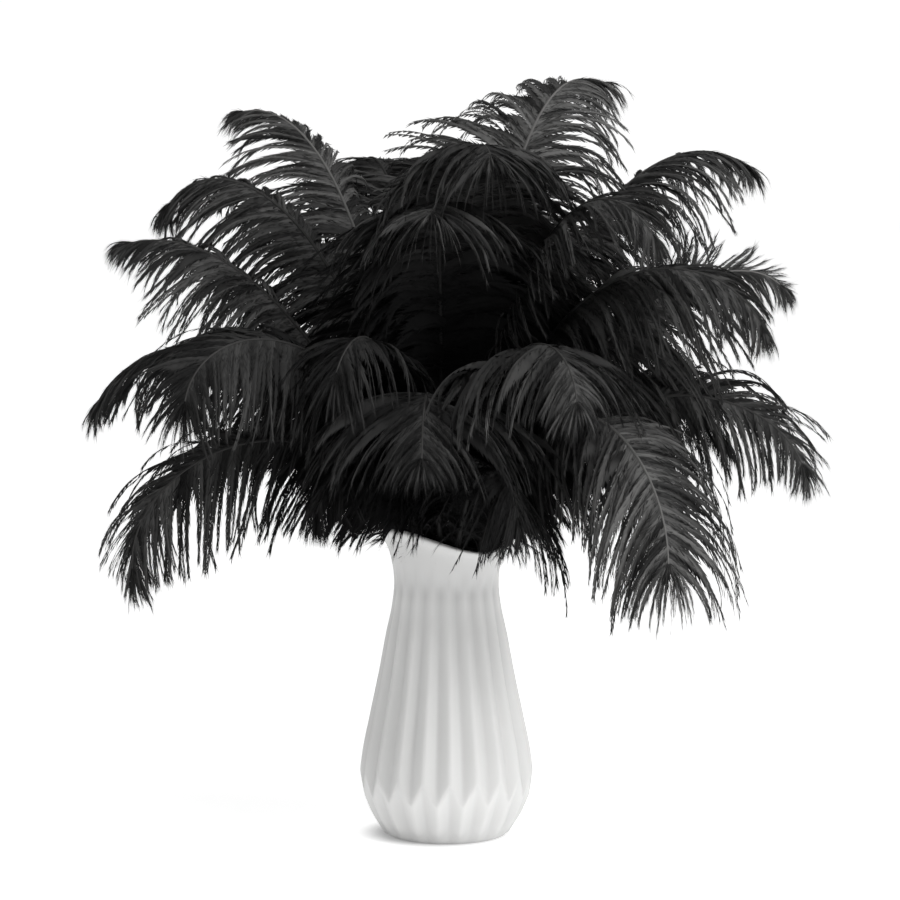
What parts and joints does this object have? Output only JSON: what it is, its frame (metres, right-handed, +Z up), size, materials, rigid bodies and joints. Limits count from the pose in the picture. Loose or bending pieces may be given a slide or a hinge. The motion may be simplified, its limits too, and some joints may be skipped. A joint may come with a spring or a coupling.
{
  "type": "vase of ostrich plumes",
  "caption": "Bouquet of black ostrich plumes, each a bare quill with drooping vanes, standing in a white fluted vase with a wavy flared rim.",
  "frame": {"origin": "centre of the vase's foot, on the surface that it stands on", "axes": "+Z up along the vase's axis, -Y towards the viewer of the picture, +X to that viewer's right"},
  "size_m": [0.5087, 0.4061, 0.5349],
  "materials": {
    "white_ceramic": "satin",
    "black_plume": "matte"
  },
  "bodies": {
    "root": {"vase": "white_ceramic", "plume_front_right": "black_plume", "plume_front_centre": "black_plume", "plume_left_front": "black_plume", "plume_centre_tall": "black_plume", "plume_crown_front": "black_plume", "plume_right_low": "black_plume", "plume_left_low": "black_plume", "plume_right_front_high": "black_plume", "plume_crown_back": "black_plume", "plume_left_top": "black_plume", "plume_right_top": "black_plume", "plume_left_high": "black_plume", "plume_right_high": "black_plume", "plume_left_middle": "black_plume", "plume_right_middle": "black_plume", "plume_left_far": "black_plume", "plume_right_inner": "black_plume", "plume_left_inner": "black_plume", "plume_right_small": "black_plume", "plume_rim_right": "black_plume", "plume_rim_left": "black_plume", "plume_back_tall": "black_plume", "plume_back_right_high": "black_plume", "plume_back_left_high": "black_plume", "plume_back_left_middle": "black_plume", "plume_back_right_middle": "black_plume", "plume_back_low": "black_plume", "plume_back_left_low": "black_plume", "plume_back_right_low": "black_plume"}
  },
  "joints": []
}
